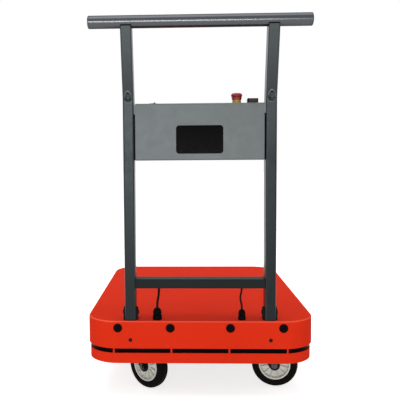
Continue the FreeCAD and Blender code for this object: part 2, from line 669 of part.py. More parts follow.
def make_caster_plate(side):
    # Top plate with the upper race pressed under it, and a pocket for the kingpin's head.
    swivel = Vector(side * SWIVEL_X, SWIVEL_Y, 0)
    bottom = RAIL_BOTTOM - CASTER_PLATE[2]
    plate = centred_block(CASTER_PLATE, swivel.x, swivel.y, bottom)
    plate = plate.makeFillet(8, [e for e in plate.Edges if is_along(e, Z_AXIS)])
    race = RACE_DIAMETER / 2
    cup = turned([(0, bottom), (race, bottom), (race, bottom - RACE_HEIGHT / 2), (race - 3, RACE_BOTTOM),
                  (0, RACE_BOTTOM)], swivel, Z_AXIS)
    bore = rod(KINGPIN + 2 * RUNNING_GAP, swivel + Z_AXIS * (RACE_BOTTOM - 1), Z_AXIS, RACE_HEIGHT + 10)
    pocket = rod(KINGPIN_HEAD + 2 * SEAT_GAP, swivel + Z_AXIS * (bottom - SEAT_GAP), Z_AXIS,
                 CASTER_PLATE[2] + 1)
    holes = caster_holes(swivel.x, bottom, CASTER_PLATE[2], CASTER_BOLT + 0.6)
    return fused([plate, cup]).cut([bore, pocket] + holes)


def make_caster_bolts():
    bottom = RAIL_BOTTOM - CASTER_PLATE[2]
    top = RAIL_BOTTOM + 2 * TUBE_WALL
    head = CASTER_BOLT * 0.65
    bolts = []
    for swivel_x in (-SWIVEL_X, SWIVEL_X):
        for x in (-CASTER_HOLE_X, CASTER_HOLE_X):
            for y in (-CASTER_HOLE_Y, CASTER_HOLE_Y):
                at = Vector(swivel_x + x, SWIVEL_Y + y, 0)
                bolts.append(fused([rod(CASTER_BOLT, at + Z_AXIS * bottom, Z_AXIS, top - bottom + head + 2),
                                    hex_prism(CASTER_BOLT * 1.6, at + Z_AXIS * (bottom - head), Z_AXIS, head),
                                    hex_prism(CASTER_BOLT * 1.6, at + Z_AXIS * top, Z_AXIS, head)]))
    return Part.Compound(bolts)


# ---- driven wheels
def make_drive_bracket():
    axle_z = DRIVE_WHEEL / 2
    radius = DRIVE_PLATE_WIDTH / 2
    plate = block(RAIL_OUTER_X, RAIL_OUTER_X + DRIVE_PLATE, DRIVE_Y - radius, DRIVE_Y + radius, axle_z,
                  RAIL_TOP - TUBE_WALL)
    eye = rod(DRIVE_PLATE_WIDTH, Vector(RAIL_OUTER_X, DRIVE_Y, axle_z), X_AXIS, DRIVE_PLATE)
    foot = block(RAIL_OUTER_X - RAIL_SIZE + TRAY_LAP + SEAT_GAP, RAIL_OUTER_X, DRIVE_Y - radius,
                 DRIVE_Y + radius, RAIL_BOTTOM - DRIVE_PLATE, RAIL_BOTTOM)
    hole = rod(DRIVE_AXLE + 2 * WHEEL_FIT_GAP, Vector(RAIL_OUTER_X - 1, DRIVE_Y, axle_z), X_AXIS,
               DRIVE_PLATE + 2)
    return fused([plate, eye, foot]).cut(hole)


def make_drive_axle():
    axle_z = DRIVE_WHEEL / 2
    nut = DRIVE_AXLE * 0.6
    start = Vector(RAIL_OUTER_X - nut - 4, DRIVE_Y, axle_z)
    reach = DRIVE_X + DRIVE_TREAD / 4 - start.x
    return fused([rod(DRIVE_AXLE, start, X_AXIS, reach),
                  hex_prism(DRIVE_AXLE * 1.5, Vector(RAIL_OUTER_X - nut, DRIVE_Y, axle_z), X_AXIS, nut)])


def make_drive_hub():
    rim = DRIVE_HUB / 2
    half = DRIVE_TREAD / 2 - 2
    face = half - 3
    bore = DRIVE_AXLE / 2 + RUNNING_GAP
    blind = DRIVE_TREAD / 4 + SEAT_GAP
    neck = RAIL_OUTER_X + DRIVE_PLATE + SEAT_GAP - DRIVE_X
    profile = [(bore, neck), (16, neck), (20, -half), (24, -face), (rim - 9, -face), (rim - 7, -half),
               (rim, -half), (rim, half), (rim - 7, half), (rim - 9, face), (20, face), (17, half),
               (0, half), (0, blind), (bore, blind)]
    return turned(profile, Vector(DRIVE_X, DRIVE_Y, DRIVE_WHEEL / 2), X_AXIS)


def make_drive_tyre():
    outer = DRIVE_WHEEL / 2
    inner = DRIVE_HUB / 2 + WHEEL_FIT_GAP
    half = DRIVE_TREAD / 2
    groove = 2.0
    profile = [(inner, -half + 2), (inner + 4, -half), (outer - 10, -half), (outer - 3, -half + 4),
               (outer, -half + 9)]
    for middle in (-half / 3, half / 3):
        profile += [(outer, middle - 2), (outer - groove, middle - 1), (outer - groove, middle + 1),
                    (outer, middle + 2)]
    profile += [(outer, half - 9), (outer - 3, half - 4), (outer - 10, half), (inner + 4, half),
                (inner, half - 2)]
    return turned(profile, Vector(DRIVE_X, DRIVE_Y, DRIVE_WHEEL / 2), X_AXIS)


# ---- handle
def handle_path():
    # Up from the deck, round the bend and on towards the handlebar.
    lean = math.radians(HANDLE_LEAN)
    setback = BEND_RADIUS * math.tan(lean / 2)
    up = Vector(0, -math.sin(lean), math.cos(lean))
    foot = Vector(UPRIGHT_X, UPRIGHT_Y, UPRIGHT_FOOT)
    bend = Vector(UPRIGHT_X, UPRIGHT_Y, BEND_Z)
    top = bend + up * ((BAR_Z - BEND_Z) / math.cos(lean) - BAR_DIAMETER / 2 + BAR_SADDLE)
    into = bend - Z_AXIS * setback
    out = bend + up * setback
    centre = into - Y_AXIS * BEND_RADIUS
    half_way = centre + (bend - centre).normalize() * BEND_RADIUS
    edges = [Part.LineSegment(foot, into), Part.Arc(into, half_way, out), Part.LineSegment(out, top)]
    return Part.Wire([edge.toShape() for edge in edges]), top


def tube_section(width, depth, corner):
    slab = centred_block((width, depth, 1), UPRIGHT_X, UPRIGHT_Y, UPRIGHT_FOOT)
    slab = slab.makeFillet(corner, [e for e in slab.Edges if is_along(e, Z_AXIS)])
    bottom = min(slab.Faces, key=lambda face: face.CenterOfMass.z)
    return bottom.OuterWire


def bend_dimple(radius):
    # The inner face of the bend is pressed in while the tube is bent.
    proud = BEND_DIMPLE_RADIUS - BEND_DIMPLE_DEPTH
    return Part.makeSphere(radius, Vector(UPRIGHT_X, UPRIGHT_REAR_Y - proud, BEND_Z))


def make_upright():
    # The right-hand upright: a rectangular tube with one bend. Its top is closed with a plate and
    # scooped out to seat the handlebar.
    path, top = handle_path()
    outer_section = tube_section(UPRIGHT_WIDTH, UPRIGHT_DEPTH, UPRIGHT_CORNER)
    inner_section = tube_section(UPRIGHT_WIDTH - 2 * UPRIGHT_WALL, UPRIGHT_DEPTH - 2 * UPRIGHT_WALL,
                                 UPRIGHT_CORNER - UPRIGHT_WALL / 2)
    outer = path.makePipeShell([outer_section], True, False).cut(bend_dimple(BEND_DIMPLE_RADIUS))
    inner = path.makePipeShell([inner_section], True, False)
    plate = Part.makeBox(2 * UPRIGHT_DEPTH, 2 * UPRIGHT_DEPTH, BAR_SADDLE + BAR_SEAT_PLATE)
    plate.translate(Vector(-UPRIGHT_DEPTH, -UPRIGHT_DEPTH, -BAR_SADDLE - BAR_SEAT_PLATE))
    plate.Placement = Placement(top, Rotation(X_AXIS, HANDLE_LEAN)).multiply(plate.Placement)
    inner = inner.cut([bend_dimple(BEND_DIMPLE_RADIUS + UPRIGHT_WALL), plate])
    return outer.cut([inner, bar_rod(BAR_DIAMETER), ear_bolt_hole()])


def bar_rod(diameter):
    return rod(diameter, Vector(-BAR_LENGTH / 2, BAR_Y, BAR_Z), X_AXIS, BAR_LENGTH)


def ear_bolt_hole():
    reach = UPRIGHT_WIDTH + 4 * EAR_THICKNESS
    start = Vector(UPRIGHT_X - reach / 2, UPRIGHT_Y, DECK_TOP + EAR_BOLT_RISE)
    return rod(EAR_BOLT + 0.4, start, X_AXIS, reach)


def make_handlebar():
    length = BAR_LENGTH - 2 * BAR_CAP
    start = Vector(-length / 2, BAR_Y, BAR_Z)
    return rod(BAR_DIAMETER, start, X_AXIS, length).cut(
        rod(BAR_DIAMETER - 2 * BAR_WALL, start - X_AXIS, X_AXIS, length + 2))


def make_bar_caps():
    outer = BAR_DIAMETER / 2
    plug = outer - BAR_WALL - WHEEL_FIT_GAP
    profile = [(0, BAR_CAP), (outer - 3, BAR_CAP), (outer - 1, BAR_CAP * 0.7), (outer, BAR_CAP * 0.3),
               (outer, 0), (plug, 0), (plug, -BAR_PLUG), (0, -BAR_PLUG)]
    caps = []
    for side in (-1, 1):
        end = Vector(side * (BAR_LENGTH / 2 - BAR_CAP), BAR_Y, BAR_Z)
        caps.append(turned(profile, end, X_AXIS * side))
    return Part.Compound(caps)


def make_cross_brace():
    brace = laid_tube(-UPRIGHT_INNER_X, UPRIGHT_INNER_X, UPRIGHT_REAR_Y, UPRIGHT_REAR_Y + UPRIGHT_DEPTH,
                      BRACE_BOTTOM, BRACE_BOTTOM + BRACE_HEIGHT, X_AXIS)
    holes = [rod(lead + 4 + 2 * SEAT_GAP, Vector(x, UPRIGHT_Y, BRACE_BOTTOM - 1), Z_AXIS, TUBE_WALL + 2)
             for x, lead in lead_entries()]
    return brace.cut(holes)


def make_handle_bracket():
    # Two ears rise through the cover and hold the upright's foot between them.
    base = centred_block((BRACKET_BASE_WIDTH, CROSS_DEPTH - 8, BRACKET_BASE), UPRIGHT_X,
                         REAR_Y + COVER_WALL + CROSS_DEPTH / 2, BRACKET_BOTTOM)
    pieces = [base]
    eye_z = DECK_TOP + EAR_RISE - EAR_WIDTH / 2
    for x in (UPRIGHT_INNER_X - EAR_THICKNESS, UPRIGHT_OUTER_X):
        pieces.append(block(x, x + EAR_THICKNESS, UPRIGHT_Y - EAR_WIDTH / 2, UPRIGHT_Y + EAR_WIDTH / 2,
                            BRACKET_BOTTOM, eye_z))
        pieces.append(rod(EAR_WIDTH, Vector(x, UPRIGHT_Y, eye_z), X_AXIS, EAR_THICKNESS))
    return fused(pieces).cut(ear_bolt_hole())


def make_bracket_bolts():
    head = EAR_BOLT * 0.65
    grip = UPRIGHT_WIDTH + 2 * EAR_THICKNESS
    bolts = []
    for x in (-UPRIGHT_X, UPRIGHT_X):
        at = Vector(x - grip / 2, UPRIGHT_Y, DECK_TOP + EAR_BOLT_RISE)
        bolts.append(fused([rod(EAR_BOLT, at, X_AXIS, grip + head + 2),
                            hex_prism(EAR_BOLT * 1.6, at - X_AXIS * head, X_AXIS, head),
                            hex_prism(EAR_BOLT * 1.6, at + X_AXIS * grip, X_AXIS, head)]))
    return Part.Compound(bolts)


# ---- control box
def box_outline(y0, y1, shrink):
    half = BOX_HALF_WIDTH - shrink
    return block(-half, half, y0, y1, BOX_BOTTOM + shrink, BOX_TOP - shrink)


def rounded_screen(y0, y1, grow):
    half = SCREEN_WIDTH / 2 + grow
    z0 = BOX_BOTTOM + SCREEN_BOTTOM - grow
    slab = block(-half, half, y0, y1, z0, z0 + SCREEN_HEIGHT + 2 * grow)
    return slab.makeFillet(SCREEN_CORNER + grow, [e for e in slab.Edges if is_along(e, Y_AXIS)])


def box_post_places():
    inset = BOX_WALL + 5
    for x in (-BOX_HALF_WIDTH + inset, BOX_HALF_WIDTH - inset):
        for z in (BOX_BOTTOM + inset, BOX_TOP - inset):
            yield x, z


def make_control_box():
    back = UPRIGHT_REAR_Y + BOX_DEPTH - BOX_WALL
    shell = box_outline(UPRIGHT_REAR_Y, back, 0)
    front_edges = [e for e in shell.Edges if is_along(e, X_AXIS) and e.BoundBox.YMax < UPRIGHT_REAR_Y + 1]
    shell = shell.makeFillet(BOX_EDGE_RADIUS, front_edges)
    shell = shell.cut(box_outline(UPRIGHT_REAR_Y + BOX_WALL, back + 1, BOX_WALL))
    posts = [centred_block((10, back - UPRIGHT_REAR_Y - 1, 10), x, (back + UPRIGHT_REAR_Y + 1) / 2, z - 5)
             for x, z in box_post_places()]
    tabs = []
    for side in (-1, 1):
        x0, x1 = sorted((side * (BOX_HALF_WIDTH - 1), side * UPRIGHT_INNER_X))
        tabs.append(block(x0, x1, UPRIGHT_REAR_Y + 0.5, UPRIGHT_REAR_Y + 0.5 + BOX_WALL,
                          BOX_TOP - BOX_TAB_HEIGHT, BOX_TOP - BOX_EDGE_RADIUS))
        tabs.append(block(x0, x1, UPRIGHT_Y - BOX_TAB_DEPTH / 2, UPRIGHT_Y + BOX_TAB_DEPTH / 2,
                          BOX_BOTTOM + 10, BOX_BOTTOM + 10 + BOX_TAB_HEIGHT))
    shell = fused([shell] + posts + tabs)
    cuts = [rounded_screen(UPRIGHT_REAR_Y - 1, UPRIGHT_REAR_Y + BOX_WALL + 1, SEAT_GAP)]
    cuts.append(rod(STOP_NECK + 2 * SEAT_GAP, Vector(STOP_X, BOX_MIDDLE_Y, BOX_TOP - BOX_WALL - 1), Z_AXIS,
                    BOX_WALL + 2))
    for bezel, x in ((POWER_BEZEL, POWER_SWITCH_X), (LIGHT_BEZEL, LIGHT_SWITCH_X)):
        cuts.append(centred_block((bezel[0] - 2 + 2 * SEAT_GAP, bezel[1] - 2 + 2 * SEAT_GAP, BOX_WALL + 2), x,
                                  BOX_MIDDLE_Y, BOX_TOP - BOX_WALL - 1))
    for x, z in box_post_places():
        cuts.append(rod(SCREW_SHANK + 0.2, Vector(x, back - SCREW_LENGTH - 1, z), Y_AXIS, SCREW_LENGTH + 2))
    return shell.cut(cuts)


def make_control_box_cover():
    back = UPRIGHT_REAR_Y + BOX_DEPTH
    plate = box_outline(back - BOX_WALL, back, 0)
    holes = [rod(SCREW_SHANK + 0.6, Vector(x, back - BOX_WALL - 1, z), Y_AXIS, BOX_WALL + 2)
             for x, z in box_post_places()]
    # A row of air slots near the foot of the plate.
    slots = [centred_block((3, BOX_WALL + 2, 26), 9.0 * i, back - BOX_WALL / 2, BOX_BOTTOM + 22)
             for i in range(-8, 9)]
    return plate.cut(holes + slots)


def make_display_screen():
    glass = rounded_screen(UPRIGHT_REAR_Y + 0.2, UPRIGHT_REAR_Y + BOX_WALL, 0)
    board = block(-SCREEN_WIDTH / 2 - 4, SCREEN_WIDTH / 2 + 4, UPRIGHT_REAR_Y + BOX_WALL,
                  UPRIGHT_REAR_Y + BOX_WALL + SCREEN_BOARD, BOX_BOTTOM + SCREEN_BOTTOM - 3,
                  BOX_BOTTOM + SCREEN_BOTTOM + SCREEN_HEIGHT + 3)
    return fused([glass, board])


def make_panel_screws():
    screws = [screw(place, out, SCREW_LENGTH) for place, out in screw_places()]
    back = UPRIGHT_REAR_Y + BOX_DEPTH
    screws += [screw(Vector(x, back, z), Y_AXIS, SCREW_LENGTH) for x, z in box_post_places()]
    return Part.Compound(screws)


# ---- emergency stop
def stop_centre():
    return Vector(STOP_X, BOX_MIDDLE_Y, BOX_TOP)


def make_stop_collar():
    bore = STOP_STEM / 2 + RUNNING_GAP
    base = STOP_COLLAR / 2
    neck = STOP_NECK / 2
    profile = [(bore, -BOX_WALL - 8), (neck, -BOX_WALL - 8), (neck, 0), (base + 0.6, 0), (base + 0.6, 1),
               (base, 1.5), (base, STOP_COLLAR_HEIGHT), (neck, STOP_COLLAR_HEIGHT), (neck, STOP_NECK_HEIGHT),
               (bore, STOP_NECK_HEIGHT)]
    return turned(profile, stop_centre(), Z_AXIS)


def make_stop_stem():
    radius = STOP_STEM / 2
    foot = -BOX_WALL - 6
    top = STOP_NECK_HEIGHT + STOP_HEAD_HEIGHT * 0.7
    profile = [(0, foot), (radius, foot), (radius, top), (0, top)]
    return turned(profile, stop_centre(), Z_AXIS)


def make_stop_head():
    # A mushroom cap that flares from its foot; its skirt passes over the collar's neck.
    foot = STOP_COLLAR_HEIGHT + STOP_TRAVEL + SEAT_GAP
    top = foot + STOP_HEAD_HEIGHT
    widest = STOP_HEAD / 2
    hollow = STOP_NECK / 2 + 2 * SEAT_GAP
    roof = STOP_NECK_HEIGHT + STOP_TRAVEL + SEAT_GAP
    bore = STOP_STEM / 2 + RUNNING_GAP
    stem_top = STOP_NECK_HEIGHT + STOP_HEAD_HEIGHT * 0.7 + SEAT_GAP
    profile = [(hollow, foot), (STOP_HEAD_BASE / 2, foot), (STOP_HEAD_BASE / 2 + 0.6, foot + 2),
               (widest - 0.8, foot + 5.5), (widest, foot + 7.5), (widest - 0.4, foot + 10),
               (widest - 2.2, top - 2), (widest - 5, top - 0.6), (widest * 0.35, top), (0, top),
               (0, stem_top), (bore, stem_top), (bore, roof), (hollow, roof)]
    return turned(profile, stop_centre(), Z_AXIS)


def make_stop_block():
    top = BOX_TOP - BOX_WALL - 8
    body = centred_block(STOP_BLOCK, STOP_X, BOX_MIDDLE_Y, top - STOP_BLOCK[2])
    well = rod(STOP_STEM + 1, Vector(STOP_X, BOX_MIDDLE_Y, top - STOP_TRAVEL), Z_AXIS, STOP_TRAVEL + 1)
    return body.cut(well)


# ---- rocker switches
def switch_frame(bezel, x, opening, pivot_z, pin_axis):
    # A bezel on the panel and a socket under it. The rocker's pins turn in the two side walls.
    width, depth, height = bezel
    top = centred_block(bezel, x, BOX_MIDDLE_Y, BOX_TOP)
    upper_edges = [e for e in top.Edges if e.BoundBox.ZMin > BOX_TOP + height - 1e-6]
    top = top.makeChamfer(height / 4, upper_edges)
    socket = centred_block((width - 2, depth - 2, SWITCH_BODY_DEPTH), x, BOX_MIDDLE_Y,
                           BOX_TOP - SWITCH_BODY_DEPTH)
    well = centred_block((opening[0], opening[1], SWITCH_BODY_DEPTH + height), x, BOX_MIDDLE_Y,
                         BOX_TOP - SWITCH_BODY_DEPTH + 2)
    reach = max(width, depth)
    start = Vector(x, BOX_MIDDLE_Y, BOX_TOP + pivot_z) - pin_axis * (reach / 2)
    pin_hole = rod(SWITCH_PIN + 2 * RUNNING_GAP, start, pin_axis, reach)
    return fused([top, socket]).cut([well, pin_hole])


def rocker(profile, width, x, pivot_z, pin_axis, pin_reach, tilt):
    # The profile gives (along, up) points about the pivot, seen square to the pin.
    along = Z_AXIS.cross(pin_axis) * -1
    pivot = Vector(x, BOX_MIDDLE_Y, BOX_TOP + pivot_z)
    points = [pivot + along * run + Z_AXIS * up - pin_axis * (width / 2) for run, up in profile]
    body = Part.Face(Part.makePolygon(points + [points[0]])).extrude(pin_axis * width)
    pin = rod(SWITCH_PIN, pivot - pin_axis * pin_reach, pin_axis, 2 * pin_reach)
    whole = fused([body, pin])
    whole.rotate(pivot, pin_axis, tilt)
    return whole


def make_power_switch_frame():
    return switch_frame(POWER_BEZEL, POWER_SWITCH_X, POWER_OPENING, POWER_PIVOT, Y_AXIS)


def make_power_rocker():
    profile = [(-5.4, -6), (5.4, -6), (6.4, 6.6), (0, 5.2), (-6.4, 6.6)]
    width = POWER_OPENING[1] - 2 * SEAT_GAP
    return rocker(profile, width, POWER_SWITCH_X, POWER_PIVOT, Y_AXIS, POWER_OPENING[1] / 2 + 1,
                  -POWER_ROCKER_TILT)


def make_light_switch_frame():
    frame = switch_frame(LIGHT_BEZEL, LIGHT_SWITCH_X, LIGHT_OPENING, LIGHT_PIVOT, X_AXIS)
    guards = []
    for side in (-1, 1):
        outer = LIGHT_SWITCH_X + side * LIGHT_BEZEL[0] / 2
        x0, x1 = sorted((outer, outer - side * LIGHT_GUARD))
        guard = block(x0, x1, BOX_MIDDLE_Y - LIGHT_BEZEL[1] / 2, BOX_MIDDLE_Y + LIGHT_BEZEL[1] / 2, BOX_TOP,
                      BOX_TOP + LIGHT_GUARD_HEIGHT)
        top_corners = [e for e in guard.Edges if is_along(e, X_AXIS) and e.BoundBox.ZMin > BOX_TOP + 1]
        guards.append(guard.makeFillet(3, top_corners))
    return fused([frame] + guards)


def make_light_rocker():
    profile = [(-10, -7), (10, -7), (12.6, 13.4), (0, 11.4), (-12.6, 13.4)]
    width = LIGHT_OPENING[0] - 2 * SEAT_GAP
    return rocker(profile, width, LIGHT_SWITCH_X, LIGHT_PIVOT, X_AXIS, LIGHT_OPENING[0] / 2 + 1,
                  -LIGHT_ROCKER_TILT)


# ---- cable glands and leads
def lead_entries():
    yield GLAND_LEFT_X + LEAD_LEFT_SHIFT, GLAND_LEFT[2]
    yield GLAND_RIGHT_X, GLAND_RIGHT[2]


def make_gland(x, size):
    width, height, _ = size
    at = Vector(x, GLAND_Y, GLAND_FOOT)
    hexagon = hex_prism(width, at, Z_AXIS, height * 0.4)
    rounded = rod(GLAND_NUT_ROUND * width, at, Z_AXIS, height * 0.4)
    nut = hexagon.common(rounded)
    radius = width / 2
    dome = turned([(0, height * 0.4), (radius * 0.86, height * 0.4), (radius * 0.86, height * 0.46),
                   (radius * 0.98, height * 0.5), (radius * 0.98, height * 0.74),
                   (radius * 0.8, height * 0.88), (radius * 0.5, height), (0, height)], at, Z_AXIS)
    under = Vector(x, GLAND_Y, COVER_UNDERSIDE)
    thread = rod(GLAND_THREAD, under - Z_AXIS * 9, Z_AXIS, COVER_WALL + 9)
    locknut = hex_prism(GLAND_THREAD * 1.5, under - Z_AXIS * 5, Z_AXIS, 5)
    return fused([nut, dome, thread, locknut])


def make_lead_grommets():
    grommets = []
    for x, lead in lead_entries():
        lip = lead / 2 + 3.5
        neck = lead / 2 + 2
        profile = [(0, -GROMMET_LIP), (lip - 1, -GROMMET_LIP), (lip, 0), (neck, 0), (neck, TUBE_WALL + 2),
                   (0, TUBE_WALL + 2)]
        grommets.append(turned(profile, Vector(x, UPRIGHT_Y, BRACE_BOTTOM), Z_AXIS))
    return Part.Compound(grommets)


def lead_routes():
    # Each lead climbs from its gland's dome to the grommet under the brace.
    top = BRACE_BOTTOM - GROMMET_LIP
    across = UPRIGHT_Y - GLAND_Y
    foot = Vector(GLAND_LEFT_X, GLAND_Y, GLAND_FOOT + GLAND_LEFT[1])
    shift = LEAD_LEFT_SHIFT
    left = [foot,
            foot + Vector(0, 0, 13),
            foot + Vector(0.56 * shift, 0.33 * across, 26),
            foot + Vector(shift, across, 39),
            Vector(foot.x + shift, UPRIGHT_Y, top)]
    foot = Vector(GLAND_RIGHT_X, GLAND_Y, GLAND_FOOT + GLAND_RIGHT[1])
    bulge = LEAD_RIGHT_BULGE
    right = [foot,
             foot + Vector(0, 0, 12),
             foot + Vector(-bulge, 0.1 * across, 24),
             foot + Vector(-0.95 * bulge, 0.6 * across, 35),
             foot + Vector(0, across, 46.5),
             Vector(foot.x, UPRIGHT_Y, top)]
    return {"left": (left, GLAND_LEFT[2]), "right": (right, GLAND_RIGHT[2])}


def corner_arc(before, corner, after):
    # The largest arc that its two runs allow, from a share of the shorter run.
    into = (corner - before).normalize()
    out = (after - corner).normalize()
    reach = 0.45 * min((corner - before).Length, (after - corner).Length)
    half_turn = into.getAngle(out) / 2
    start = corner - into * reach
    end = corner + out * reach
    radius = reach / math.tan(half_turn)
    inward = (out - into).normalize()
    middle = corner + inward * (radius / math.cos(half_turn) - radius)
    return start, middle, end, radius


def make_lead(name):
    points, diameter = lead_routes()[name]
    edges = []
    last = points[0]
    for i in range(1, len(points) - 1):
        start, middle, end, radius = corner_arc(points[i - 1], points[i], points[i + 1])
        edges.append(Part.LineSegment(last, start).toShape())
        edges.append(Part.Arc(start, middle, end).toShape())
        print("lead", name, "radius", round(radius, 1))
        last = end
    edges.append(Part.LineSegment(last, points[-1]).toShape())
    path = Part.Wire(edges)
    first = (edges[0].Vertexes[-1].Point - points[0]).normalize()
    section = Part.Wire(Part.Circle(points[0], first, diameter / 2).toShape())
    tube = path.makePipeShell([section], True, False)
    expected = path.Length * math.pi * diameter ** 2 / 4
    print("lead", name, "length", round(path.Length, 1), "volume share", round(tube.Volume / expected, 4))
    return tube


# ---- the whole machine
def make_nodes():
    rail = make_rail()
    upright = make_upright()
    bracket = make_handle_bracket()
    drive = {"drive_bracket": make_drive_bracket(), "drive_axle": make_drive_axle(),
             "drive_hub": make_drive_hub(), "drive_tyre": make_drive_tyre()}
    caster = {"caster_fork": make_caster_fork(), "caster_axle": make_caster_axle(),
              "caster_hub": make_caster_hub(), "caster_tyre": make_caster_tyre()}
    nodes = {
        "top_cover": make_top_cover(),
        "slot_window": make_slot_window(),
        "sonar_sensors": make_sonar_sensors(),
        "panel_screws": make_panel_screws(),
        "chassis_crossmembers": make_crossmembers(),
        "deck_pads": make_deck_pads(),
        "chassis_tray": make_tray(),
        "battery_pack": make_battery(),
        "motor_controller": make_motor_controller(),
        "main_computer": make_main_computer(),
        "power_board": make_power_board(),
        "lidar_base": make_lidar_base(),
        "lidar_head": make_lidar_head(),
        "caster_bolts": make_caster_bolts(),
        "handlebar": make_handlebar(),
        "handlebar_caps": make_bar_caps(),
        "cross_brace": make_cross_brace(),
        "bracket_bolts": make_bracket_bolts(),
        "control_box": make_control_box(),
        "control_box_cover": make_control_box_cover(),
        "display_screen": make_display_screen(),
        "stop_collar": make_stop_collar(),
        "stop_block": make_stop_block(),
        "stop_stem": make_stop_stem(),
        "stop_head": make_stop_head(),
        "power_switch_frame": make_power_switch_frame(),
        "power_rocker": make_power_rocker(),
        "light_switch_frame": make_light_switch_frame(),
        "light_rocker": make_light_rocker(),
        "gland_left": make_gland(GLAND_LEFT_X, GLAND_LEFT),
        "gland_right": make_gland(GLAND_RIGHT_X, GLAND_RIGHT),
        "lead_grommets": make_lead_grommets(),
        "lead_left": make_lead("left"),
        "lead_right": make_lead("right"),
    }
    for side, sign, heading in (("left", -1, CASTER_ANGLE_LEFT), ("right", 1, CASTER_ANGLE_RIGHT)):
        nodes["lower_skirt_" + side] = make_skirt_half(sign)
        nodes["chassis_rail_" + side] = sided(rail, sign)
        nodes["upright_" + side] = sided(upright, sign)
        nodes["handle_bracket_" + side] = sided(bracket, sign)
        nodes["caster_plate_" + side] = make_caster_plate(sign)
        for name, shape in drive.items():
            nodes[name + "_" + side] = sided(shape, sign)
        for name, shape in caster.items():
            nodes[name + "_" + side] = placed(shape, caster_placement(sign, heading))
    return nodes


def sided(shape, sign):
    return shape if sign > 0 else mirrored(shape)


def save(nodes):
    os.makedirs("parts", exist_ok=True)
    for name, shape in nodes.items():
        shape.exportStep("parts/" + name + ".step")
        print(name, "solids", len(shape.Solids), "valid", shape.isValid())


save(make_nodes())
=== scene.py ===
import json
import math
import bmesh
import bpy
from mathutils import Matrix, Vector


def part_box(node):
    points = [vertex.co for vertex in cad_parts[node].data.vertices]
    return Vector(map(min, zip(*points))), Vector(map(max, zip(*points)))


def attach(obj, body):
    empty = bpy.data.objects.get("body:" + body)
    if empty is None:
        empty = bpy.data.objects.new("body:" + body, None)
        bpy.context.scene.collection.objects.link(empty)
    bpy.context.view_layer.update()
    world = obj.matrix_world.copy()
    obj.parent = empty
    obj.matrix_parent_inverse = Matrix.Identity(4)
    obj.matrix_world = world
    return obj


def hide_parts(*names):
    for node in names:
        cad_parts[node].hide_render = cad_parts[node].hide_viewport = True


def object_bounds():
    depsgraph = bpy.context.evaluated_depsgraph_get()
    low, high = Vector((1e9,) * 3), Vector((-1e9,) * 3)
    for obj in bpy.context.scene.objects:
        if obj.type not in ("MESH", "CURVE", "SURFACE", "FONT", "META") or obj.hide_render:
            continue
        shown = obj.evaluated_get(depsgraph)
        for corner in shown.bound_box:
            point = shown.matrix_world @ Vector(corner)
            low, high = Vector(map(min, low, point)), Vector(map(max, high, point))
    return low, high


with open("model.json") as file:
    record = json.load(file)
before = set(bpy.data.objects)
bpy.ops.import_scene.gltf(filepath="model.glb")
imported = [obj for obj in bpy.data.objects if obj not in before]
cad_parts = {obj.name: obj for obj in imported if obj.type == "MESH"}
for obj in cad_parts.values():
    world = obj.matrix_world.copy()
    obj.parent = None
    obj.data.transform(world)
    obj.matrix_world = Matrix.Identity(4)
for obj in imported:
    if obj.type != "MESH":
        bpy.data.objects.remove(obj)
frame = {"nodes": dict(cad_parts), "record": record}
CAD_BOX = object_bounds()
NODES = frame["nodes"]
RECORD = frame["record"]
MM = 0.001


def add_to_scene(thing):
    bpy.context.scene.collection.objects.link(thing)


# ---- camera; its angles are in radians, from straight along Y
CAMERA_PLACE = Vector((-0.03867, -1.88123, 0.62224))
CAMERA_YAW = -0.0360
CAMERA_PITCH = 0.0667
CAMERA_ROLL = -0.00716
CAMERA_LENS = 53.2
CAMERA_SENSOR = 36
CAMERA_SHIFT = (0.0914, 0.0016)


def make_camera():
    forward = Vector((math.sin(CAMERA_YAW) * math.cos(CAMERA_PITCH),
                      math.cos(CAMERA_YAW) * math.cos(CAMERA_PITCH),
                      -math.sin(CAMERA_PITCH)))
    level = Vector((math.cos(CAMERA_YAW), -math.sin(CAMERA_YAW), 0))
    upright = level.cross(forward)
    right = level * math.cos(CAMERA_ROLL) + upright * math.sin(CAMERA_ROLL)
    up = upright * math.cos(CAMERA_ROLL) - level * math.sin(CAMERA_ROLL)
    data = bpy.data.cameras.new("camera")
    data.sensor_width = CAMERA_SENSOR
    data.lens = CAMERA_LENS
    data.shift_x, data.shift_y = CAMERA_SHIFT
    camera = bpy.data.objects.new("camera", data)
    add_to_scene(camera)
    camera.matrix_world = Matrix((
        (right.x, up.x, -forward.x, CAMERA_PLACE.x),
        (right.y, up.y, -forward.y, CAMERA_PLACE.y),
        (right.z, up.z, -forward.z, CAMERA_PLACE.z),
        (0, 0, 0, 1)))
    bpy.context.scene.camera = camera
    bpy.context.scene.view_settings.view_transform = "Standard"


make_camera()


# ---- leads, from their glands up to the brace; the points are those of the solids' routes
LEAD_LEFT = [(-0.1115, -0.36103, 0.2406), (-0.1115, -0.36103, 0.2536), (-0.10898, -0.35905, 0.2666),
             (-0.107, -0.35503, 0.2796), (-0.107, -0.35503, 0.292)]
LEAD_RIGHT = [(0.1085, -0.36103, 0.2366), (0.1085, -0.36103, 0.2486), (0.1047, -0.36043, 0.2606),
              (0.10489, -0.35743, 0.2716), (0.1085, -0.35503, 0.2831), (0.1085, -0.35503, 0.292)]


def new_curve(name, bevel_resolution):
    # Its points carry their own radius, so that the bevel depth is one unit.
    curve = bpy.data.curves.new(name, "CURVE")
    curve.dimensions = "3D"
    curve.bevel_depth = 1.0
    curve.bevel_resolution = bevel_resolution
    return curve


